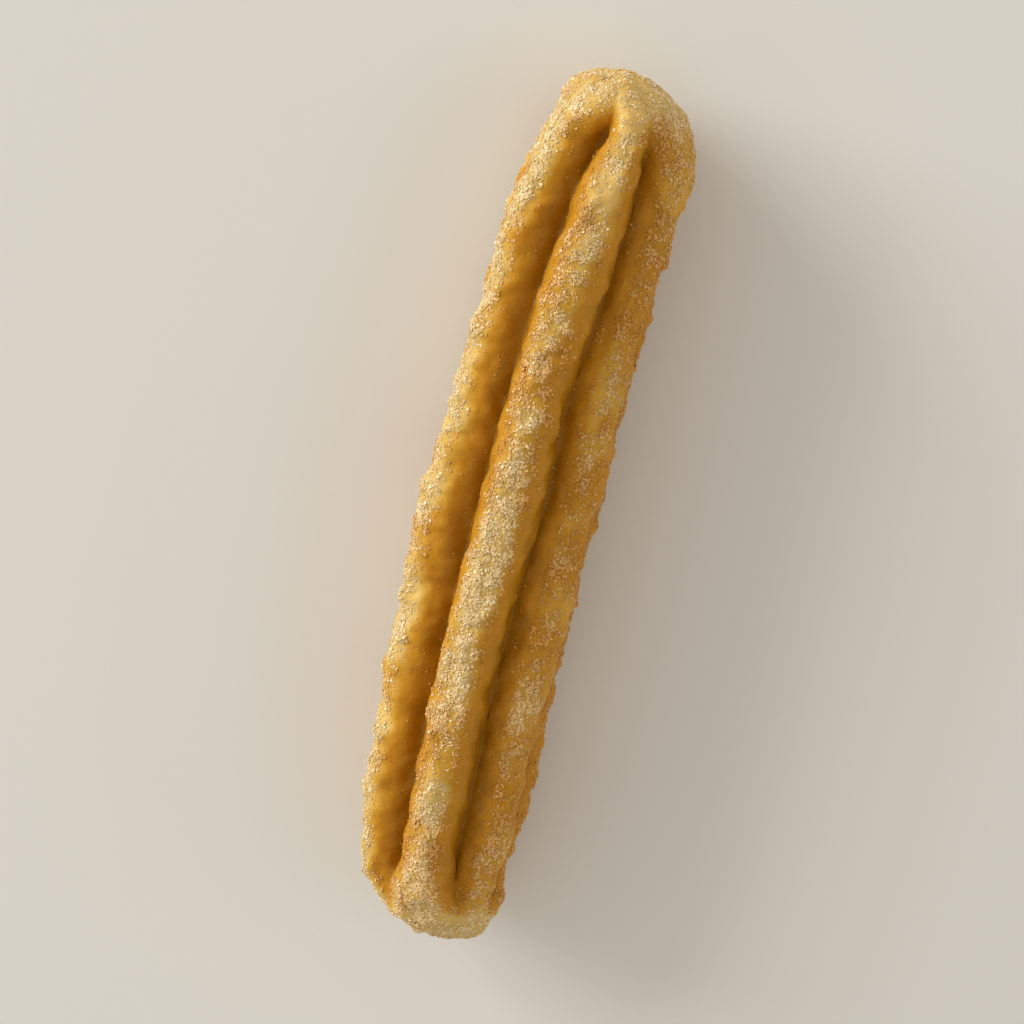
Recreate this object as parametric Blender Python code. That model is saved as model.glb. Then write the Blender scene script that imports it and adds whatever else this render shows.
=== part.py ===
"""A mini churro lying on its side, for Blender 4.5. Metres, +Z up.

It is one piece of fried dough, piped through a star nozzle. Fat uneven ridges run along a log that is
thickest in the middle and a little bent and twisted. They wander, swell and thin as they go, and they
close over the two rounded ends, where the grooves between them start as thin wedges that turn aside. The
lowest ridge is pressed flat where it rests. The churro lies along X, with its leaning end at +X. The
origin is under its middle, on the surface that it rests on.
"""

import math
from typing import NamedTuple

import bmesh
import bpy
from mathutils import Vector, noise

# Overall size
LENGTH = 0.084
THICKNESS = 0.0174  # across the ridges, at the middle
TAPER = 0.26  # how much thinner the log gets towards its ends, as a share
RESTING_FLAT = 0.0011  # how much of the lowest ridge is pressed flat

# How the log strays from straight. Sideways is towards +Y.
BEND = 0.0016  # sideways, at the middle
TWIST = math.radians(16)  # from end to end
LEAN = 0.0023  # sideways, of the tip at +X
FAR_LEAN = -0.0012  # of the tip at -X
SLANT = 0.16  # of the end at +X: how far forward its -Y side reaches, as a share of the way out
FAR_SLANT = 0.10  # of the end at -X


class Ridge(NamedTuple):
    angle: float  # round the log from +Z towards -Y
    height: float  # how far its crest stands out beyond the mean, or short of it
    rounding: float  # how far back from the tip it starts to round off
    groove_depth: float  # of the groove after it
    groove_start: float  # how far from the tip that groove begins
    groove_turn: float  # how far it turns aside there, as a share of the way between two crests


# The -X end takes its roundings, groove starts and groove turns from the ridge across the log.
RIDGES = (
    Ridge(math.radians(-1), 0.0001, 0.0046, 0.0027, 0.0026, -0.18),
    Ridge(math.radians(54), 0.0000, 0.0082, 0.0026, 0.0032, 0.10),
    Ridge(math.radians(115), -0.0003, 0.0068, 0.0029, 0.0018, -0.12),
    Ridge(math.radians(176), 0.0001, 0.0062, 0.0024, 0.0022, 0.16),
    Ridge(math.radians(236), 0.0002, 0.0046, 0.0028, 0.0014, -0.08),
    Ridge(math.radians(295), -0.0001, 0.0042, 0.0031, 0.0008, 0.24),
)
GROOVE_RUN_IN = 0.0060  # the length in which a groove reaches its depth
GROOVE_TURN_IN = 0.0090  # the length in which it turns
RIDGE_ROUNDNESS = 0.90  # 1 makes each ridge a half ellipse, and less a flatter arc of one
GROOVE_SOFTNESS = 0.12  # 0 makes the bottom of a groove a sharp fold

# Unevenness: how far the dough strays, and along how much of the log it does so
WOBBLE = 0.0007  # of the whole log, sideways
WOBBLE_LENGTH = 0.024
FATNESS = 0.05  # of the whole log, as a share of its thickness
FATNESS_LENGTH = 0.017
WANDER = math.radians(5)  # of each ridge, round the log
WANDER_LENGTH = 0.013
SWELL = 0.00045  # of the crust, in and out
SWELL_LENGTH = 0.0100
CREST_WAVER = 0.00045  # of each crest, in and out
CREST_WAVER_LENGTH = 0.0065
CREST_CRUMBS = 0.00025  # of each crest, in and out, in short crags
CREST_CRUMBS_LENGTH = 0.0030
NOISE_START = Vector((14.3, 3.8, 6.6))

# The mesh
COLUMNS_PER_RIDGE = 12
BODY_RINGS = 58
END_RINGS = 12
RINGS = BODY_RINGS + 2 * END_RINGS
COLUMNS = COLUMNS_PER_RIDGE * len(RIDGES)

CRUST_COLOUR = (0.60, 0.33, 0.09, 1.0)
CRUST_ROUGHNESS = 0.6


def clear_scene():
    for old in list(bpy.data.objects):
        bpy.data.objects.remove(old)


def smooth(share):
    """0 to 1 with a soft start and stop."""
    share = min(max(share, 0.0), 1.0)
    return share * share * (3 - 2 * share)


def ridge_arc(across):
    """How deep the crust lies below a crest, from 0 there to 1 in the groove halfway to the next crest."""
    from_groove = abs(1 - 2 * across)
    softened = math.hypot(from_groove, GROOVE_SOFTNESS) - GROOVE_SOFTNESS
    from_crest = 1 - softened / (math.hypot(1, GROOVE_SOFTNESS) - GROOVE_SOFTNESS)
    arc = math.sqrt(1 - (RIDGE_ROUNDNESS * from_crest) ** 2)
    return (1 - arc) / (1 - math.sqrt(1 - RIDGE_ROUNDNESS**2))


def ridges_beside(column):
    """The ridges before and after a column of points, and its share of the way between them."""
    number, step = divmod(column % COLUMNS, COLUMNS_PER_RIDGE)
    return RIDGES[number], RIDGES[(number + 1) % len(RIDGES)], step / COLUMNS_PER_RIDGE


def rounding(column):
    """How far back from the +X tip the log starts to round off, in this column of points."""
    first, second, across = ridges_beside(column)
    return first.rounding + (second.rounding - first.rounding) * smooth(across)


def ring_place(ring, column):
    """(x, sideways lean, share of the full radius, slant of the end) of a ring's point in this column."""
    start = -LENGTH / 2 + rounding(column + COLUMNS // 2)
    stop = LENGTH / 2 - rounding(column)
    quarter = min(ring, RINGS - ring) / END_RINGS * math.pi / 2
    to_tip = math.cos(quarter)
    if ring < END_RINGS:
        x = start - (start + LENGTH / 2) * to_tip
        return x, FAR_LEAN * to_tip**2, math.sin(quarter), FAR_SLANT * to_tip
    if ring > RINGS - END_RINGS:
        x = stop + (LENGTH / 2 - stop) * to_tip
        return x, LEAN * to_tip**2, math.sin(quarter), SLANT * to_tip
    return start + (stop - start) * (ring - END_RINGS) / BODY_RINGS, 0.0, 1.0, 0.0


def swell(x, angle):
    """Smooth unevenness from -1 to 1, the same each run."""
    around = THICKNESS / 2 / SWELL_LENGTH
    place = Vector((x / SWELL_LENGTH, around * math.cos(angle), around * math.sin(angle)))
    return noise.noise(place + NOISE_START)


def stray(x, length, start):
    """How something strays along the log, from -1 to 1, with a start of its own."""
    return noise.noise(NOISE_START + Vector((x / length, start, 0)))


def calm(x):
    """1 along most of the log, and less towards its tips, where it strays less."""
    return 1 - (2 * x / LENGTH) ** 6


def wandered(x, ridge):
    """A ridge's angle where it has wandered a little to one side."""
    return ridge.angle + WANDER * calm(x) * stray(x, WANDER_LENGTH, 10 + len(RIDGES) * ridge.angle)


def crest_height(x, ridge):
    """How far a ridge's crest stands out beyond the mean, with its rise and fall along the log."""
    start = len(RIDGES) * ridge.angle
    rise = CREST_WAVER * stray(x, CREST_WAVER_LENGTH, start)
    return ridge.height + rise + CREST_CRUMBS * stray(x, CREST_CRUMBS_LENGTH, start)


def surface_point(ring, column):
    """A point of the crust, where column 0 is the first ridge's crest."""
    first, second, across = ridges_beside(column)
    x, lean, share, slant = ring_place(ring, column)
    near = first if x > 0 else ridges_beside(column + COLUMNS // 2)[0]
    past_start = LENGTH / 2 - abs(x) - near.groove_start
    turn = near.groove_turn * smooth(1 - past_start / GROOVE_TURN_IN) * math.sin(math.pi * across) ** 2
    start = wandered(x, first)
    angle = start + (wandered(x, second) - start) % math.tau * (across + turn)
    arc = ridge_arc(across)
    groove = arc * smooth(past_start / GROOVE_RUN_IN)
    along = 2 * x / LENGTH
    fat = 1 - TAPER * along**4 + FATNESS * calm(x) * stray(x, FATNESS_LENGTH, 30)
    radius = THICKNESS / 2 * fat - first.groove_depth * groove + SWELL * swell(x, angle)
    radius += (1 - arc) * crest_height(x, first if across < 0.5 else second)
    turned = angle + TWIST * x / LENGTH
    middle = BEND * (1 - along**2) + lean + WOBBLE * calm(x) * stray(x, WOBBLE_LENGTH, 40)
    aside, above = radius * share * math.sin(turned), radius * share * math.cos(turned)
    return Vector((x + slant * aside, middle - aside, above))


def shape_sphere(mesh):
    """Moves each point of a UV sphere to its place on the crust. The sphere's poles become the two tips,
    and its columns of points count from its +Y side."""
    for vertex in mesh.verts:
        ring = round(math.acos(max(-1.0, min(1.0, -vertex.co.z))) / math.pi * RINGS)
        column = round(math.atan2(-vertex.co.x, vertex.co.y) / math.tau * COLUMNS)
        vertex.co = surface_point(ring, column)


def lay_down(mesh):
    """Sets the churro at z = 0, with its lowest ridge pressed flat there, and centres it on the origin."""
    lowest = min(vertex.co.z for vertex in mesh.verts)
    for vertex in mesh.verts:
        vertex.co.z = max(vertex.co.z - lowest - RESTING_FLAT, 0.0)
    for axis in (0, 1):
        places = [vertex.co[axis] for vertex in mesh.verts]
        middle = (min(places) + max(places)) / 2
        for vertex in mesh.verts:
            vertex.co[axis] -= middle


def crust_material():
    material = bpy.data.materials.new("fried_dough")
    material.use_nodes = True
    shader = material.node_tree.nodes["Principled BSDF"]
    shader.inputs["Base Color"].default_value = CRUST_COLOUR
    shader.inputs["Roughness"].default_value = CRUST_ROUGHNESS
    shader.inputs["Metallic"].default_value = 0.0
    return material


def make_churro(collection):
    mesh = bmesh.new()
    bmesh.ops.create_uvsphere(mesh, u_segments=COLUMNS, v_segments=RINGS, radius=1.0)
    shape_sphere(mesh)
    lay_down(mesh)
    data = bpy.data.meshes.new("churro")
    mesh.to_mesh(data)
    mesh.free()
    data.shade_smooth()
    data.materials.append(crust_material())
    churro = bpy.data.objects.new("churro", data)
    collection.objects.link(churro)
    return churro


def main():
    clear_scene()
    collection = bpy.data.collections.new("mini_churro")
    bpy.context.scene.collection.children.link(collection)
    make_churro(collection)


main()
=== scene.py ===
# %% [markdown]
# # A sugared mini churro
#
# A churro is soft dough pushed through a star-shaped nozzle, cut off short, fried, and rolled in sugar
# while it is hot. What the eye meets is a fat ridged log with closed ends, a crust that is pale gold on
# the ridges and amber down in the grooves, and thousands of sugar crystals that catch the light.
#
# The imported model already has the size, the bend and the ridges. It could be shown with a finer
# material on it, but its mesh is too coarse for the grain of a crust, so this script makes the same log
# again with far more points and lets it stand for the plain one. Lengths are in metres.

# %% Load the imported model
import math
from typing import NamedTuple

import bmesh
import bpy
import numpy as np
from mathutils import Matrix, Vector, noise
from mathutils.bvhtree import BVHTree


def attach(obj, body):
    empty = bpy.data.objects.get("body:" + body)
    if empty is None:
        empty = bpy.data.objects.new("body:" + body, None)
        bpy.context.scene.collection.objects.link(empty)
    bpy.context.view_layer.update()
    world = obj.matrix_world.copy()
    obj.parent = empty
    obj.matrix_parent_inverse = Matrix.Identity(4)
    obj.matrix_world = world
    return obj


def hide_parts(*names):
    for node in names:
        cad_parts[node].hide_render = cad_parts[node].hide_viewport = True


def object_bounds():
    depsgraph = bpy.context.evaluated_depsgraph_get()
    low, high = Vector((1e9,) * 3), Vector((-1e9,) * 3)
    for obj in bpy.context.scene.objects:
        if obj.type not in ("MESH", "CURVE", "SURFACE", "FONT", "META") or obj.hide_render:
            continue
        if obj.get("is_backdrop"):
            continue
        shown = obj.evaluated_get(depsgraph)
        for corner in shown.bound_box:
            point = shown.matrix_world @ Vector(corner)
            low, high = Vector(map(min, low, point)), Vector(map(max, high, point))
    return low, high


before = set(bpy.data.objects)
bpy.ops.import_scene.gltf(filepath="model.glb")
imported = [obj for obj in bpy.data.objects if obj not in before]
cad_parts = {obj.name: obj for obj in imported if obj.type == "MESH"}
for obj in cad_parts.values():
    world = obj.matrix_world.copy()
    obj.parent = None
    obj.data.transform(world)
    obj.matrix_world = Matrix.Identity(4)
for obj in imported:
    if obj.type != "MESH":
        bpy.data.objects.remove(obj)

packed_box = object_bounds()
MM = 0.001
print("The plain churro measures", [round(side / MM, 1) for side in packed_box[1] - packed_box[0]], "mm")

# %% [markdown]
# ## The camera
#
# The churro lies down with its shown side up, so the camera looks down on it. It stands 355 mm away and
# 12 degrees off straight above, towards the leaning tip, so it sees a little of the rounded end too. The
# tip points up in the picture and leans 14 degrees to the right. A long lens could stand anywhere, but
# only the true distance gives the true narrowing of the log away from the eye, so the distance comes
# first, and the lens is the one that fills the frame from there.

# %% Set up the camera
VIEW_DISTANCE = 355 * MM
VIEW_TILT = math.radians(12)
VIEW_ROLL = math.radians(14)
VIEW_HEIGHT = 10 * MM
LENS = 134

log_middle = (packed_box[0] + packed_box[1]) / 2
log_middle.z = VIEW_HEIGHT
to_camera = Vector((math.sin(VIEW_TILT), 0, math.cos(VIEW_TILT)))
tipward = (Vector((1, 0, 0)) - to_camera * to_camera.x).normalized()
sideward = tipward.cross(to_camera)
picture_up = math.cos(VIEW_ROLL) * tipward - math.sin(VIEW_ROLL) * sideward
picture_right = math.sin(VIEW_ROLL) * tipward + math.cos(VIEW_ROLL) * sideward

camera = bpy.data.objects.new("camera", bpy.data.cameras.new("camera"))
camera.data.lens = LENS
camera.matrix_world = (
    Matrix.Translation(log_middle + to_camera * VIEW_DISTANCE)
    @ Matrix((picture_right, picture_up, to_camera)).transposed().to_4x4()
)
bpy.context.scene.collection.objects.link(camera)
bpy.context.scene.camera = camera
print("Camera at", [round(place / MM) for place in camera.matrix_world.translation], "mm")

# %% [markdown]
# ## One helper for nodes, and one for colours
#
# Every material below is a small graph of nodes. Written out in full, each node takes a line to make,
# a line for each setting and a line for each link. One helper does all three, and it serves every kind
# of node. Colours are picked on screen as sRGB hex values, while shaders work in linear light, so a
# second helper turns one into the other.

# %% Add a node, and turn a colour to linear


def add_node(tree, kind, properties=None, sockets=None):
    """Adds a node. Sockets are given by name or number, each with its value or with what feeds it."""
    node = tree.nodes.new(kind)
    for name, value in (properties or {}).items():
        setattr(node, name, value)
    for name, value in (sockets or {}).items():
        if isinstance(value, bpy.types.NodeSocket):
            tree.links.new(value, node.inputs[name])
        else:
            node.inputs[name].default_value = value
    return node


def linear(hex_colour):
    """The linear colour of an sRGB hex value such as #dba956."""
    channels = [int(hex_colour[start : start + 2], 16) / 255 for start in (1, 3, 5)]
    lit = [value / 12.92 if value <= 0.04045 else ((value + 0.055) / 1.055) ** 2.4 for value in channels]
    return (*lit, 1.0)


print("Mid grey #808080 is", round(linear("#808080")[0], 3), "in linear light")

# %% [markdown]
# ## Floor and light
#
# Food is best lit from low at one side, which draws every ridge. Here a large soft lamp stands low at
# the left of the picture, so the left ridge is bright, the grooves hold shadow and the right ridge turns
# away. A small lamp would draw each crystal with a hard shadow, and light from everywhere would wash
# the ridges out. A weak, wide lamp at the right and a pale, slightly warm room keep the shaded side
# open and golden. The floor's paint is a touch cool, so that it looks white in that warm light.

# %% Lay the floor
FLOOR_HALF = 3.0  # metres

floor_paint = bpy.data.materials.new("matte_pale_board")
floor_paint.use_nodes = True
board = floor_paint.node_tree.nodes["Principled BSDF"]
board.inputs["Base Color"].default_value = linear("#f2f4f6")
board.inputs["Roughness"].default_value = 0.9

floor_corners = [(x * FLOOR_HALF, y * FLOOR_HALF, 0) for x, y in ((-1, -1), (1, -1), (1, 1), (-1, 1))]
floor_mesh = bpy.data.meshes.new("floor")
floor_mesh.from_pydata(floor_corners, [], [(0, 1, 2, 3)])
floor_mesh.materials.append(floor_paint)
floor = bpy.data.objects.new("floor", floor_mesh)
bpy.context.scene.collection.objects.link(floor)
floor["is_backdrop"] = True

# %% Hang the lamps
LAMP_DISTANCE = 1.4  # metres
LAMP_SIZE = 0.9  # metres
KEY_WATTS = 17.8
FILL_WATTS = 1.6
ROOM_STRENGTH = 0.56


def hang_lamp(name, direction, watts, colour):
    """A square soft lamp that faces the churro."""
    lamp = bpy.data.lights.new(name, "AREA")
    lamp.size = LAMP_SIZE
    lamp.energy = watts
    lamp.color = linear(colour)[:3]
    holder = bpy.data.objects.new(name, lamp)
    holder.location = log_middle + direction.normalized() * LAMP_DISTANCE
    holder.rotation_euler = direction.to_track_quat("Z", "Y").to_euler()
    bpy.context.scene.collection.objects.link(holder)


key_direction = to_camera * 0.32 - picture_right * 0.80 + picture_up * 0.50
fill_direction = to_camera * 0.55 + picture_right * 0.9 - picture_up * 0.2
hang_lamp("key_lamp", key_direction, KEY_WATTS, "#fffdf6")
hang_lamp("fill_lamp", fill_direction, FILL_WATTS, "#fdf8f0")

world = bpy.data.worlds.new("pale_room")
world.use_nodes = True
world.node_tree.nodes["Background"].inputs["Color"].default_value = linear("#f4ead9")
world.node_tree.nodes["Background"].inputs["Strength"].default_value = ROOM_STRENGTH
bpy.context.scene.world = world
bpy.context.scene.view_settings.view_transform = "Standard"
overhead = round(math.degrees(key_direction.angle(Vector((0, 0, 1)))))
print("The key lamp stands", overhead, "degrees off overhead")

# %% [markdown]
# ## The log
#
# The six ridges of the piped log are six arcs that meet in soft valleys, swept along a log that
# narrows, bends and twists a little. A curve with a star profile would give the sweep but not the
# closed, uneven ends. Here a sphere of rings and columns is reshaped instead: its two poles become
# the tips, each column becomes a line along a ridge or a groove, and a function gives each point its
# place. The ridges are uneven on purpose, each with its own width, groove and end. Near the tips the
# nozzle's star shape has not yet taken hold of the dough, so there each groove starts as a thin wedge
# and turns aside.

# %% Say how the log is shaped
LENGTH = 84 * MM
THICKNESS = 17.4 * MM
TAPER = 0.26
RESTING_FLAT = 1.1 * MM
BEND = 1.6 * MM
TWIST = math.radians(16)
LEAN = 2.3 * MM
FAR_LEAN = -1.2 * MM
SLANT = 0.16
FAR_SLANT = 0.10


class Ridge(NamedTuple):
    angle: float  # round the log from +Z towards -Y
    height: float  # how far its crest stands out beyond the mean, or short of it
    rounding: float  # how far back from the tip it starts to round off
    groove_depth: float  # of the groove after it
    groove_start: float  # how far from the tip that groove begins
    groove_turn: float  # how far it turns aside there, as a share of the way between two crests


RIDGES = (
    Ridge(math.radians(-1), 0.1 * MM, 4.6 * MM, 2.7 * MM, 2.6 * MM, -0.18),
    Ridge(math.radians(54), 0.0 * MM, 8.2 * MM, 2.6 * MM, 3.2 * MM, 0.10),
    Ridge(math.radians(115), -0.3 * MM, 6.8 * MM, 2.9 * MM, 1.8 * MM, -0.12),
    Ridge(math.radians(176), 0.1 * MM, 6.2 * MM, 2.4 * MM, 2.2 * MM, 0.16),
    Ridge(math.radians(236), 0.2 * MM, 4.6 * MM, 2.8 * MM, 1.4 * MM, -0.08),
    Ridge(math.radians(295), -0.1 * MM, 4.2 * MM, 3.1 * MM, 0.8 * MM, 0.24),
)
GROOVE_RUN_IN = 6.0 * MM
GROOVE_TURN_IN = 9.0 * MM
RIDGE_ROUNDNESS = 0.90
GROOVE_SOFTNESS = 0.12

COLUMNS_PER_RIDGE = 40
COLUMNS = COLUMNS_PER_RIDGE * len(RIDGES)
END_RINGS = 32
BODY_RINGS = 326
RINGS = BODY_RINGS + 2 * END_RINGS
print("The crust gets", 2 * COLUMNS * (RINGS - 1), "triangles")

# %% Shape one ridge


def smooth(share):
    """0 to 1 with a soft start and stop."""
    share = min(max(share, 0.0), 1.0)
    return share * share * (3 - 2 * share)


def ridge_arc(across):
    """How deep the crust lies below a crest, from 0 there to 1 halfway to the next crest."""
    from_groove = abs(1 - 2 * across)
    softened = math.hypot(from_groove, GROOVE_SOFTNESS) - GROOVE_SOFTNESS
    from_crest = 1 - softened / (math.hypot(1, GROOVE_SOFTNESS) - GROOVE_SOFTNESS)
    arc = math.sqrt(1 - (RIDGE_ROUNDNESS * from_crest) ** 2)
    return (1 - arc) / (1 - math.sqrt(1 - RIDGE_ROUNDNESS**2))


def ridges_beside(column):
    """The ridges before and after a column of points, and its share of the way between them."""
    number, step = divmod(column % COLUMNS, COLUMNS_PER_RIDGE)
    return RIDGES[number], RIDGES[(number + 1) % len(RIDGES)], step / COLUMNS_PER_RIDGE


print("Halfway down a ridge's side the crust is", round(ridge_arc(0.25), 2), "of a groove deep")

# %% Give each ring its place along the log


def rounding(column):
    """How far back from the near tip the log starts to round off, in this column."""
    first, second, across = ridges_beside(column)
    return first.rounding + (second.rounding - first.rounding) * smooth(across)


def ring_place(ring, column):
    """A point's place along the log, its tip's lean, its share of the full radius, and its end's slant."""
    start = -LENGTH / 2 + rounding(column + COLUMNS // 2)
    stop = LENGTH / 2 - rounding(column)
    quarter = min(ring, RINGS - ring) / END_RINGS * math.pi / 2
    to_tip = math.cos(quarter)
    if ring < END_RINGS:
        x = start - (start + LENGTH / 2) * to_tip
        return x, FAR_LEAN * to_tip**2, math.sin(quarter), FAR_SLANT * to_tip
    if ring > RINGS - END_RINGS:
        x = stop + (LENGTH / 2 - stop) * to_tip
        return x, LEAN * to_tip**2, math.sin(quarter), SLANT * to_tip
    return start + (stop - start) * (ring - END_RINGS) / BODY_RINGS, 0.0, 1.0, 0.0


# %% Let the dough stray
WOBBLE, WOBBLE_LENGTH = 0.7 * MM, 24 * MM
FATNESS, FATNESS_LENGTH = 0.05, 17 * MM
WANDER, WANDER_LENGTH = math.radians(5), 13 * MM
SWELL, SWELL_LENGTH = 0.45 * MM, 10 * MM
WAVER, WAVER_LENGTH = 0.45 * MM, 6.5 * MM
CRUMBS, CRUMBS_LENGTH = 0.25 * MM, 3.0 * MM
NOISE_START = Vector((14.3, 3.8, 6.6))


def stray(x, length, start):
    """How something strays along the log, from -1 to 1, with a start of its own."""
    return noise.noise(NOISE_START + Vector((x / length, start, 0)))


def calm(x):
    """1 along most of the log, and less towards its tips, where it strays less."""
    return 1 - (2 * x / LENGTH) ** 6


def wandered(x, ridge):
    """A ridge's angle where it has wandered a little to one side."""
    return ridge.angle + WANDER * calm(x) * stray(x, WANDER_LENGTH, 10 + len(RIDGES) * ridge.angle)


def crest_height(x, ridge):
    """How far a ridge's crest stands out beyond the mean, with its rise and fall along the log."""
    start = len(RIDGES) * ridge.angle
    return ridge.height + WAVER * stray(x, WAVER_LENGTH, start) + CRUMBS * stray(x, CRUMBS_LENGTH, start)


def swell(x, angle):
    """How far the crust swells at a place, from -1 to 1."""
    around = THICKNESS / 2 / SWELL_LENGTH
    return noise.noise(
        Vector((x / SWELL_LENGTH, around * math.cos(angle), around * math.sin(angle))) + NOISE_START
    )


# %% Give each point its place on the crust


def crust_point(ring, column):
    """A point of the plain crust, and how deep in a groove it lies, from 0 to 1."""
    first, second, across = ridges_beside(column)
    x, lean, share, slant = ring_place(ring, column)
    near = first if x > 0 else ridges_beside(column + COLUMNS // 2)[0]
    past_start = LENGTH / 2 - abs(x) - near.groove_start
    turn = near.groove_turn * smooth(1 - past_start / GROOVE_TURN_IN) * math.sin(math.pi * across) ** 2
    start = wandered(x, first)
    angle = start + (wandered(x, second) - start) % math.tau * (across + turn)
    arc = ridge_arc(across)
    groove = arc * smooth(past_start / GROOVE_RUN_IN)
    along = 2 * x / LENGTH
    fat = 1 - TAPER * along**4 + FATNESS * calm(x) * stray(x, FATNESS_LENGTH, 30)
    radius = THICKNESS / 2 * fat - first.groove_depth * groove + SWELL * swell(x, angle)
    radius += (1 - arc) * crest_height(x, first if across < 0.5 else second)
    turned = angle + TWIST * x / LENGTH
    middle = BEND * (1 - along**2) + lean + WOBBLE * calm(x) * stray(x, WOBBLE_LENGTH, 40)
    aside = radius * share * math.sin(turned)
    above = radius * share * math.cos(turned)
    return Vector((x + slant * aside, middle - aside, above)), groove


# %% Reshape a sphere into the log
log = bmesh.new()
bmesh.ops.create_uvsphere(log, u_segments=COLUMNS, v_segments=RINGS, radius=1.0)
groove_layer = log.verts.layers.float.new("groove")
for point in log.verts:
    ring = round(math.acos(max(-1.0, min(1.0, -point.co.z))) / math.pi * RINGS)
    column = round(math.atan2(-point.co.x, point.co.y) / math.tau * COLUMNS)
    point.co, point[groove_layer] = crust_point(ring, column)

lowest = min(point.co.z for point in log.verts)
for point in log.verts:
    point.co.z = max(point.co.z - lowest - RESTING_FLAT, 0.0)
for axis in (0, 1):
    places = [point.co[axis] for point in log.verts]
    middle = (min(places) + max(places)) / 2
    for point in log.verts:
        point.co[axis] -= middle
log.normal_update()
print("The log has", len(log.verts), "points")

# %% [markdown]
# ## The crust's relief
#
# Frying leaves the skin of the dough lumpy: steam pushes up small blisters, the nozzle's teeth tear
# the crests into ragged crags, and the grooves keep fine lines along the way the dough was pushed.
# A bump map would draw all this as shading only, and the outline would stay smooth. So each point is
# moved in or out along its normal by a sum of noises, each with a real size, and only the finest
# grain, under half a millimetre, is left to the material.

# %% Say how rough the crust is
LUMPS, LUMPS_LENGTH = 0.34 * MM, 2.2 * MM
GRAIN, GRAIN_LENGTH = 0.08 * MM, 0.8 * MM
CRAGS, CRAGS_LENGTH = 0.34 * MM, 1.3 * MM
CRAGS_IN_GROOVE = 0.25  # the share of their height that crags keep in a groove
DEEPEST_CRAG = -0.2
LINES, LINES_LENGTH, LINES_WIDTH = 0.09 * MM, 13 * MM, 0.7 * MM


def relief(place, groove):
    """How far out the crust stands at a place, in metres."""
    lumps = LUMPS * noise.noise(place / LUMPS_LENGTH)
    grain = GRAIN * noise.noise(place / GRAIN_LENGTH)
    crag = max(noise.noise(place / CRAGS_LENGTH + NOISE_START), DEEPEST_CRAG)
    crags = CRAGS * (CRAGS_IN_GROOVE + (1 - CRAGS_IN_GROOVE) * (1 - groove)) * crag
    drawn = Vector((place.x / LINES_LENGTH, place.y / LINES_WIDTH, place.z / LINES_WIDTH))
    lines = LINES * groove * noise.noise(drawn)
    return lumps + grain + crags + lines


print("The nozzle's lines stand", LINES / MM, "mm high at most")

# %% Say where the blisters are
BLISTER_HEIGHT = 0.22 * MM
BLISTER_SPACING = 4.2 * MM
BLISTER_RARITY = 0.62  # the share of places for a blister that have none
BLISTER_REACH = 0.10  # from the middle of the smallest blister to its edge, in spacings
BLISTER_GROWTH = 0.16  # how much further the largest one reaches
SHUFFLE = 7.3  # sets neighbouring centres far apart, so that each gets a number of its own


def blister(place):
    """A low dome over the few cells of a Voronoi pattern that hold a bubble, and 0 elsewhere."""
    distances, centres = noise.voronoi(place / BLISTER_SPACING)
    chance = noise.cell(centres[0] * SHUFFLE)
    if chance < BLISTER_RARITY:
        return 0.0
    reach = BLISTER_REACH + BLISTER_GROWTH * (chance - BLISTER_RARITY) / (1 - BLISTER_RARITY)
    return BLISTER_HEIGHT * smooth(1 - distances[0] / reach)


widest_blister = 2 * (BLISTER_REACH + BLISTER_GROWTH) * BLISTER_SPACING
print("Blisters are up to", round(widest_blister / MM, 1), "mm wide")

# %% Say which side gets painted shade, away from the key lamp
# The -Y side of the log faces away from the key lamp. Its crust gets painted shade: it is coloured as if
# it lay deeper in a groove, so it looks browner, and less sugar sticks there. The rounded ends get neither.
SHADED_SIDE_DARKENING = 0.25
SHADED_AT_TOP, SHADED_TURN = 0.15, 1.1  # for crust that faces up, and how fast it grows towards -Y
END_STARTS, END_LENGTH = 35 * MM, 5 * MM


def near_end(place):
    """0 along most of the log, and 1 at its two ends."""
    return smooth((abs(place.x) - END_STARTS) / END_LENGTH)


def shaded_side(place, outward):
    """0 where the crust faces the lit +Y side, and 1 where it faces the shaded -Y side, away from the key
    lamp.
    """
    return (1.0 - near_end(place)) * smooth(SHADED_AT_TOP - SHADED_TURN * outward.y)


# How much painted shade crust that faces up gets.
print("Crust that faces up lay away by", round(shaded_side(Vector(), Vector((0, 0, 1))), 2))

# %% Raise the relief
HELD_DOWN_HEIGHT = 0.5 * MM  # the crust is smooth where it rests, and gets its relief by this height

depth_and_shade_layer = log.verts.layers.float.new("depth_and_shade")
for point in log.verts:
    place = point.co.copy()
    # A point's colour depth is its depth in a groove plus painted shade on the side away from the key lamp.
    point[depth_and_shade_layer] = point[groove_layer] + SHADED_SIDE_DARKENING * shaded_side(place, point.normal)
    height = relief(place, point[groove_layer]) + blister(place)
    let_go = smooth(place.z / HELD_DOWN_HEIGHT)
    point.co = place + point.normal * height * let_go
    point.co.z = max(point.co.z, 0.0)

crust_mesh = bpy.data.meshes.new("churro_crust")
bmesh.ops.triangulate(log, faces=log.faces)
log.to_mesh(crust_mesh)
log.free()
crust_mesh.shade_smooth()
print("The crust has", len(crust_mesh.polygons), "triangles")
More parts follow.
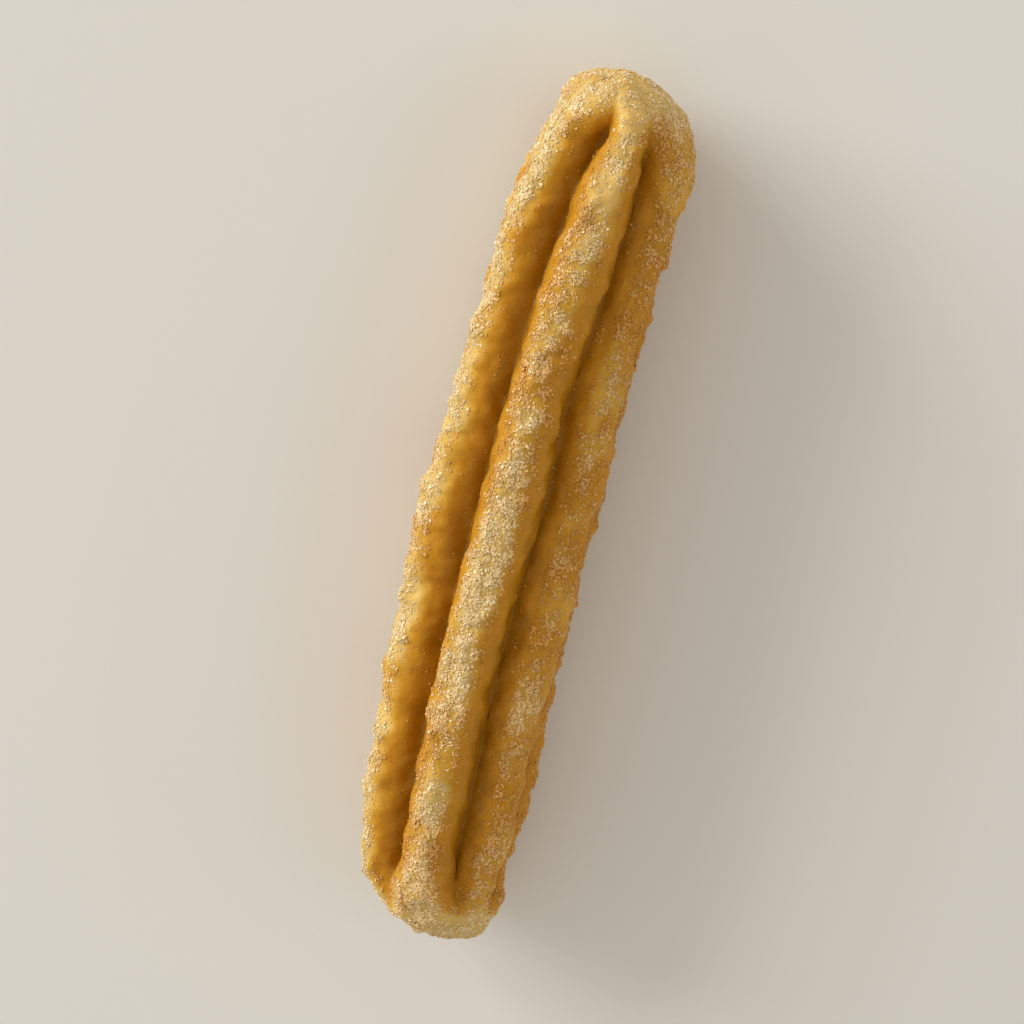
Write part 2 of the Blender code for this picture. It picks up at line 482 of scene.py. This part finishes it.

# %% [markdown]
# ## Fried dough
#
# The real thing is choux-like wheat dough, fried in oil until its skin browns. The skin is a thin
# golden crust that light enters a little way, slightly oily where it was sheltered in the grooves, and
# dry and grainy on the crests. One flat brown would look like clay, so the colour follows the form: pale
# gold on the crests, where the finest sugar powders it, then amber on the slopes and brown at the bottom
# of the grooves, which is painted shade, and amber also on the side away from the key lamp, as painted
# shade. Browner patches a few millimetres wide and small toasted specks break it up.

# %% Mix the crust's colour from crest to groove
PATCH_SIZE = 6 * MM
SPECK_SIZE = 1.6 * MM
CREST_GOLD = linear("#e6c06c")
SLOPE_GOLD = linear("#dcaa3a")
SLOPE_AMBER = linear("#cc8f14")
GROOVE_SHADE_BROWN = linear("#ac750a")
TOASTED = linear("#a0681e")
# The pale crest is where fine sugar powders it; the darker amber and brown down the slopes and in the
# grooves is painted shade.
COLOUR_STEPS = ((0.0, 0.14, SLOPE_GOLD), (0.08, 0.34, SLOPE_AMBER), (0.35, 1.0, GROOVE_SHADE_BROWN))
PALEST_PATCH, BROWNEST_PATCH = -0.14, 0.22
MOST_TOASTED = 0.18


def crust_colour(tree):
    """Nodes for the dough's colour. Returns its socket, and one for how deep, how brown and how much
    painted shade a place has.
    """
    place = add_node(tree, "ShaderNodeTexCoord").outputs["Object"]
    plain_depth_and_shade = add_node(tree, "ShaderNodeAttribute", {"attribute_name": "depth_and_shade"}).outputs["Fac"]
    patches = add_node(
        tree, "ShaderNodeTexNoise", sockets={"Vector": place, "Scale": 1 / PATCH_SIZE, "Detail": 3.0}
    ).outputs["Fac"]
    browned = add_node(
        tree,
        "ShaderNodeMapRange",
        sockets={
            "Value": patches,
            "From Min": 0.38,
            "From Max": 0.68,
            "To Min": PALEST_PATCH,
            "To Max": BROWNEST_PATCH,
        },
    ).outputs["Result"]
    depth_and_shade = add_node(tree, "ShaderNodeMath", {"operation": "ADD"}, {0: plain_depth_and_shade, 1: browned}).outputs[0]
    colour = CREST_GOLD
    for low, high, next_colour in COLOUR_STEPS:
        amount = add_node(
            tree,
            "ShaderNodeMapRange",
            {"interpolation_type": "SMOOTHSTEP"},
            {"Value": depth_and_shade, "From Min": low, "From Max": high},
        ).outputs["Result"]
        colour = add_node(
            tree, "ShaderNodeMix", {"data_type": "RGBA"}, {0: amount, 6: colour, 7: next_colour}
        ).outputs[2]
    specks = add_node(
        tree, "ShaderNodeTexNoise", sockets={"Vector": place, "Scale": 1 / SPECK_SIZE, "Detail": 4.0}
    ).outputs["Fac"]
    toasted = add_node(
        tree,
        "ShaderNodeMapRange",
        sockets={"Value": specks, "From Min": 0.58, "From Max": 0.74, "To Max": MOST_TOASTED},
    ).outputs["Result"]
    colour = add_node(
        tree, "ShaderNodeMix", {"data_type": "RGBA"}, {0: toasted, 6: colour, 7: TOASTED}
    ).outputs[2]
    return colour, depth_and_shade


# %% Colour the crust
dough = bpy.data.materials.new("fried_dough")
dough.use_nodes = True
tree = dough.node_tree
skin = tree.nodes["Principled BSDF"]
colour, depth_and_shade = crust_colour(tree)
tree.links.new(colour, skin.inputs["Base Color"])

# %% Give the crust its grain and its sheen
GRAIN_SIZE, GRAIN_HEIGHT = 0.35 * MM, 0.10 * MM
CREST_ROUGHNESS, GROOVE_ROUGHNESS = 0.62, 0.40

place = add_node(tree, "ShaderNodeTexCoord").outputs["Object"]
grain = add_node(
    tree, "ShaderNodeTexNoise", sockets={"Vector": place, "Scale": 1 / GRAIN_SIZE, "Detail": 2.0}
).outputs["Fac"]
bumped = add_node(
    tree, "ShaderNodeBump", sockets={"Height": grain, "Strength": 0.5, "Distance": GRAIN_HEIGHT}
).outputs["Normal"]
tree.links.new(bumped, skin.inputs["Normal"])
oiliness = add_node(
    tree,
    "ShaderNodeMapRange",
    sockets={
        "Value": depth_and_shade,
        "From Min": 0.1,
        "From Max": 0.9,
        "To Min": CREST_ROUGHNESS,
        "To Max": GROOVE_ROUGHNESS,
    },
).outputs["Result"]
tree.links.new(oiliness, skin.inputs["Roughness"])
skin.inputs["IOR"].default_value = 1.46
skin.inputs["Specular IOR Level"].default_value = 0.35
skin.inputs["Subsurface Weight"].default_value = 0.35
skin.inputs["Subsurface Radius"].default_value = (1.0, 0.62, 0.28)
skin.inputs["Subsurface Scale"].default_value = 1.6 * MM
print("Fried dough uses", len(tree.nodes), "nodes")

# %% Put the crust in the scene
crust_mesh.materials.append(dough)
crust = bpy.data.objects.new("churro_crust", crust_mesh)
bpy.context.scene.collection.objects.link(crust)
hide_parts("churro")
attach(crust, "root")

# %% [markdown]
# ## Sugar crystals
#
# Sugar for rolling pastry in is a mix of crystals of sucrose: slanted little boxes, from about 0.3 mm
# long down to dust, clear inside and with flat faces. They stick to the hot, greasy crests as the churro
# rolls through them, most on the side of each ridge that meets them first, while the grooves stay nearly
# bare. Fewer stick on the side away from the key lamp, where the crust has painted shade. Particles or
# instances could scatter them, but here each crystal is a few jittered corners in a joined mesh, placed
# by a seeded draw: one mesh for each of four sizes, and one for the small clumps.

# %% Read the crust's triangles
crust_points = np.empty(len(crust_mesh.vertices) * 3)
crust_mesh.vertices.foreach_get("co", crust_points)
crust_points = crust_points.reshape(-1, 3)
triangles = np.empty(len(crust_mesh.polygons) * 3, np.int64)
crust_mesh.polygons.foreach_get("vertices", triangles)
triangles = triangles.reshape(-1, 3)

# Blender numbers new triangles in another order each run. Seeded draws pick by number, so they would
# find other spots each time. Here each triangle starts at its lowest-numbered point, and the list is
# sorted.
lowest_corner = triangles.argmin(axis=1)[:, None]
triangles = np.take_along_axis(triangles, (lowest_corner + np.arange(3)) % 3, axis=1)
triangles = triangles[np.lexsort(triangles.T[::-1])]
print("The list starts with", triangles[0].tolist(), "and ends with", triangles[-1].tolist())

# %% Measure the crust's triangles
NOT_ZERO = 1e-18  # so that a triangle without an area can be divided by it

corners = crust_points[triangles]
facing = np.cross(corners[:, 1] - corners[:, 0], corners[:, 2] - corners[:, 0])
areas = np.linalg.norm(facing, axis=1) / 2
facing = facing / np.maximum(np.linalg.norm(facing, axis=1), NOT_ZERO)[:, None]
middles = corners.mean(axis=1)


def read_from_crust(attribute):
    """The mean of an attribute over each triangle."""
    values = np.empty(len(crust_mesh.vertices))
    crust_mesh.attributes[attribute].data.foreach_get("value", values)
    return values[triangles].mean(axis=1)


grooves = read_from_crust("groove")
depths_and_shade = read_from_crust("depth_and_shade")
print("The crust's surface is", round(areas.sum() / MM**2), "square millimetres")

# %% Say where sugar sticks
# As the churro rolls, one side of every ridge meets the sugar first, always the same way round the log.
# The grooves are rubbed bare, and their bare part is narrower on that side. The ends are patted off a bit.
ALONG = Vector((1, 0, 0))
MET_AT_CREST, MET_TURN = 0.5, 0.75
BARE_FROM, BARE_WITHIN, BARE_LATER = 0.01, 0.20, 0.30  # how deep in a groove
GROOVE_BARENESS, SHADED_SIDE_BARENESS, END_BARENESS = 0.98, 0.72, 0.5
UNMET_SHARE = 0.40
PATCHES_LENGTH, PATCHES_SHIFT, BETWEEN_PATCHES, IN_PATCHES = 5.5 * MM, 0.5, 0.35, 0.8
CLUSTERS_LENGTH, CLUSTERS_SHIFT, BETWEEN_CLUSTERS, IN_CLUSTERS = 1.1 * MM, 0.15, 0.3, 2.2
CLEAN_HEIGHT = 0.4 * MM  # no sugar below this, where the churro rests


def stickiness_at(place, outward, groove):
    """How much sugar sticks at a place, more where it comes in patches and clusters."""
    end = near_end(place)
    from_middle = Vector((0, place.y, place.z - THICKNESS / 2)).normalized()
    met = smooth(MET_AT_CREST + MET_TURN * outward.dot(from_middle.cross(ALONG)))
    met += (1.0 - met) * end
    kept = 1.0 - GROOVE_BARENESS * smooth((groove - BARE_FROM) / (BARE_WITHIN + BARE_LATER * met))
    caught = UNMET_SHARE + (1.0 - UNMET_SHARE) * met
    # Fewer crystals stick on the side away from the key lamp, so the painted shade on the crust shows
    # there.
    caught *= (1.0 - SHADED_SIDE_BARENESS * shaded_side(place, outward)) * (1.0 - END_BARENESS * end)
    patch = max(PATCHES_SHIFT + noise.noise(place / PATCHES_LENGTH + NOISE_START), 0.0)
    cluster = max(CLUSTERS_SHIFT + noise.noise(place / CLUSTERS_LENGTH), 0.0)
    in_patches = BETWEEN_PATCHES + IN_PATCHES * patch
    in_clusters = BETWEEN_CLUSTERS + IN_CLUSTERS * cluster
    return kept * caught * in_patches * in_clusters


spots_to_weigh = zip(middles, facing, grooves)
stickiness = np.array(
    [stickiness_at(Vector(place), Vector(outward), groove) for place, outward, groove in spots_to_weigh]
)
stickiness[middles[:, 2] < CLEAN_HEIGHT] = 0.0
print("Sugar sticks most at", round(stickiness.max(), 2), "and on average at", round(stickiness.mean(), 2))

# %% Say what forms crystals have
BOX = (
    np.array([(x, y, z) for x in (-0.5, 0.5) for y in (-0.5, 0.5) for z in (-0.5, 0.5)]),
    np.array([(0, 1, 3, 2), (4, 6, 7, 5), (0, 4, 5, 1), (2, 3, 7, 6), (0, 2, 6, 4), (1, 5, 7, 3)]),
)
DIAMOND = (
    np.array([(0.6, 0, 0), (0, 0.6, 0), (-0.6, 0, 0), (0, -0.6, 0), (0, 0, 0.6), (0, 0, -0.6)]),
    np.array([(0, 1, 4), (1, 2, 4), (2, 3, 4), (3, 0, 4), (1, 0, 5), (2, 1, 5), (3, 2, 5), (0, 3, 5)]),
)
SPLINTER = (
    np.array([(0.55, 0, -0.3), (-0.3, 0.5, -0.3), (-0.3, -0.5, -0.3), (0, 0, 0.6)]),
    np.array([(0, 1, 3), (1, 2, 3), (2, 0, 3), (0, 2, 1)]),
)
corner_counts = [len(form_points) for form_points, _ in (BOX, DIAMOND, SPLINTER)]
print("A box, a diamond and a splinter have", corner_counts, "corners")

# %% Lay crystals down


def lying_turns(draw, outward, tilt):
    """A rotation matrix for each crystal, which lies on its broad side and is tilted a little at random."""
    up = outward + draw.normal(0, tilt, outward.shape)
    up /= np.linalg.norm(up, axis=1)[:, None]
    side = np.cross(up, draw.normal(size=outward.shape))
    side /= np.linalg.norm(side, axis=1)[:, None]
    return np.stack([side, np.cross(up, side), up], axis=2)


# %% Pick spots on the crust


def pick_spots(draw, count, pickiness):
    """Random spots on the crust, which way is out there, and how deep, how brown and how much painted shade
    it has.
    """
    chances = areas * stickiness**pickiness
    chosen = draw.choice(len(areas), size=count, p=chances / chances.sum())
    first, second = draw.random((2, count))
    over = first + second > 1
    first[over], second[over] = 1 - first[over], 1 - second[over]
    picked = corners[chosen]
    spots = picked[:, 0] + first[:, None] * (picked[:, 1] - picked[:, 0])
    spots += second[:, None] * (picked[:, 2] - picked[:, 0])
    return spots, facing[chosen], depths_and_shade[chosen]


# %% Build crystals there
# The facets of smaller crystals are too fine to show, and would only make the render noisy.
SMALLEST_WITH_FACETS = 0.25 * MM
SLIMMEST, STOUTEST = (0.8, 0.65, 0.3), (1.0, 0.95, 0.55)  # length, width and thickness, in sizes
CRYSTAL_SLANT, CORNER_JITTER, CRYSTAL_TILT = 0.35, 0.09, 0.28


def build_crystals(name, draw, spots, outward, deep, sizes, form):
    """A joined mesh of one crystal at each spot, without those that would reach below the floor."""
    form_points, form_sides = form
    count = len(spots)
    shapes = form_points * draw.uniform(SLIMMEST, STOUTEST, (count, 3))[:, None, :]
    shapes[:, :, 0] += shapes[:, :, 2] * draw.uniform(-CRYSTAL_SLANT, CRYSTAL_SLANT, count)[:, None]
    shapes += draw.normal(0, CORNER_JITTER, shapes.shape)
    shapes = np.einsum("nij,nkj->nki", lying_turns(draw, outward, CRYSTAL_TILT), shapes)
    points = spots[:, None, :] + shapes * sizes[:, None, None]
    on_top = points[:, :, 2].min(axis=1) > 0
    points = points[on_top]
    kept, per_crystal = points.shape[:2]
    sides = form_sides[None] + per_crystal * np.arange(kept)[:, None, None]
    sides = sides.reshape(-1, form_sides.shape[1])
    mesh = bpy.data.meshes.new(name)
    mesh.from_pydata(points.reshape(-1, 3).tolist(), [], sides.tolist())
    for attribute, values in (("tone", draw.random(kept)), ("depth_and_shade", deep[on_top])):
        layer = mesh.attributes.new(attribute, "FLOAT", "POINT")
        layer.data.foreach_set("value", np.repeat(values, per_crystal))
    if sizes.max() < SMALLEST_WITH_FACETS:
        mesh.shade_smooth()
    mesh.calc_loop_triangles()
    print(name, "has", kept, "crystals and", len(mesh.loop_triangles), "triangles")
    return mesh


# %% [markdown]
# ## What sugar looks like
#
# Sucrose is as clear as glass, with an index of refraction of 1.56. A heap of it looks white because
# each face throws back some light, and one crystal on a golden crust looks like pale gold. Clear
# crystals this small would need very many light paths, and come out dark with fewer. So each crystal is
# opaque and takes the colour of the dough below it, paler by its own share of cloud. The cloud is cream
# on the crests, and honey in a groove, where amber dough all round lights the crystal. A few crystals have
# clean faces and glint, and the rest are dusty and dull.

# %% Mix the sugar
CREAM = linear("#fff3d2")
HONEY = linear("#f2b448")
CLEAREST, CLOUDIEST = 0.20, 0.56
CLEAN_ROUGHNESS, DUSTY_ROUGHNESS = 0.12, 0.45

sugar = bpy.data.materials.new("granulated_sugar")
sugar.use_nodes = True
tree = sugar.node_tree
crystal = tree.nodes["Principled BSDF"]
below, depth_and_shade = crust_colour(tree)
tone = add_node(tree, "ShaderNodeAttribute", {"attribute_name": "tone"}).outputs["Fac"]
cloudiness = add_node(
    tree, "ShaderNodeMapRange", sockets={"Value": tone, "To Min": CLEAREST, "To Max": CLOUDIEST}
).outputs["Result"]
sheltered = add_node(
    tree, "ShaderNodeMapRange", sockets={"Value": depth_and_shade, "From Max": 0.4}
).outputs["Result"]
cloud = add_node(
    tree, "ShaderNodeMix", {"data_type": "RGBA"}, {0: sheltered, 6: CREAM, 7: HONEY}
).outputs[2]
colour = add_node(
    tree, "ShaderNodeMix", {"data_type": "RGBA"}, {0: cloudiness, 6: below, 7: cloud}
).outputs[2]
tree.links.new(colour, crystal.inputs["Base Color"])
dustiness = add_node(
    tree,
    "ShaderNodeMapRange",
    sockets={"Value": tone, "From Max": 0.5, "To Min": CLEAN_ROUGHNESS, "To Max": DUSTY_ROUGHNESS},
).outputs["Result"]
tree.links.new(dustiness, crystal.inputs["Roughness"])
crystal.inputs["IOR"].default_value = 1.56
crystal.inputs["Specular IOR Level"].default_value = 0.9
print("Granulated sugar uses", len(tree.nodes), "nodes")

# %% Stick the crystals on


def show_sugar(mesh):
    """Puts a mesh of crystals in the scene, as sugar that goes with the churro."""
    mesh.materials.append(sugar)
    crystals = bpy.data.objects.new(mesh.name, mesh)
    bpy.context.scene.collection.objects.link(crystals)
    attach(crystals, "root")


# Each kind has its name, seed, number of crystals, smallest and largest size, form, and pickiness: how
# much more of it there is where much sugar sticks.
KINDS = (
    ("granulated_sugar", 12, 16000, 0.20 * MM, 0.29 * MM, BOX, 1.2),
    ("caster_sugar", 13, 16500, 0.15 * MM, 0.22 * MM, BOX, 1.0),
    ("fine_sugar", 14, 24500, 0.12 * MM, 0.18 * MM, DIAMOND, 0.7),
    ("sugar_dust", 15, 36000, 0.10 * MM, 0.15 * MM, SPLINTER, 0.45),
)
SUNK, RAISED = -0.1, 0.2  # how far a crystal's middle is from the crust, in sizes

for name, seed, count, smallest, largest, form, pickiness in KINDS:
    draw = np.random.default_rng(seed)
    spots, outward, deep = pick_spots(draw, count, pickiness)
    sizes = draw.uniform(smallest, largest, count)
    spots += outward * (sizes * draw.uniform(SUNK, RAISED, count))[:, None]
    show_sugar(build_crystals(name, draw, spots, outward, deep, sizes, form))

# %% Heap some into clumps
# Where dough was wet with oil, crystals stick to each other too, in low heaps about a millimetre wide.
# The crust curves away under a heap, so each crystal is first dropped onto the crust, then raised a bit.
CLUMPS, IN_CLUMP = 220, 16
CLUMP_SEED, CLUMP_PICKINESS = 16, 2.0
SMALLEST_REACH, LARGEST_REACH = 0.3 * MM, 0.65 * MM
HEAP_HEIGHT = 0.45  # in reaches
SMALLEST_IN_CLUMP, LARGEST_IN_CLUMP = 0.19 * MM, 0.30 * MM

draw = np.random.default_rng(CLUMP_SEED)
centres, outward, deep = pick_spots(draw, CLUMPS, CLUMP_PICKINESS)
reach = draw.uniform(SMALLEST_REACH, LARGEST_REACH, CLUMPS)
of_clumps = (centres, outward, deep, reach)
centres, outward, deep, reach = (np.repeat(values, IN_CLUMP, axis=0) for values in of_clumps)
aside = np.cross(outward, draw.normal(size=outward.shape))
aside /= np.linalg.norm(aside, axis=1)[:, None]
away = np.sqrt(draw.random(len(reach)))
height = HEAP_HEIGHT * (1 - away**2) * draw.random(len(reach))
crust_tree = BVHTree.FromPolygons(crust_points.tolist(), triangles.tolist())
landed = [crust_tree.find_nearest(spot) for spot in centres + aside * (away * reach)[:, None]]
outward = np.array([normal for _, normal, _, _ in landed])
spots = np.array([spot for spot, _, _, _ in landed]) + outward * (height * reach)[:, None]
sizes = draw.uniform(SMALLEST_IN_CLUMP, LARGEST_IN_CLUMP, len(reach))
show_sugar(build_crystals("sugar_clumps", draw, spots, outward, deep, sizes, BOX))

# %% [markdown]
# ## Measure and finish
#
# The dressed churro should fill the same box as the plain one, with only crystals standing out of it.
# Both sizes are printed, so they can be compared.

# %% Measure the dressed churro, and finish
dressed_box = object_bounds()
dressed_size = dressed_box[1] - dressed_box[0]
print("The dressed churro measures", [round(side / MM, 1) for side in dressed_size], "mm")
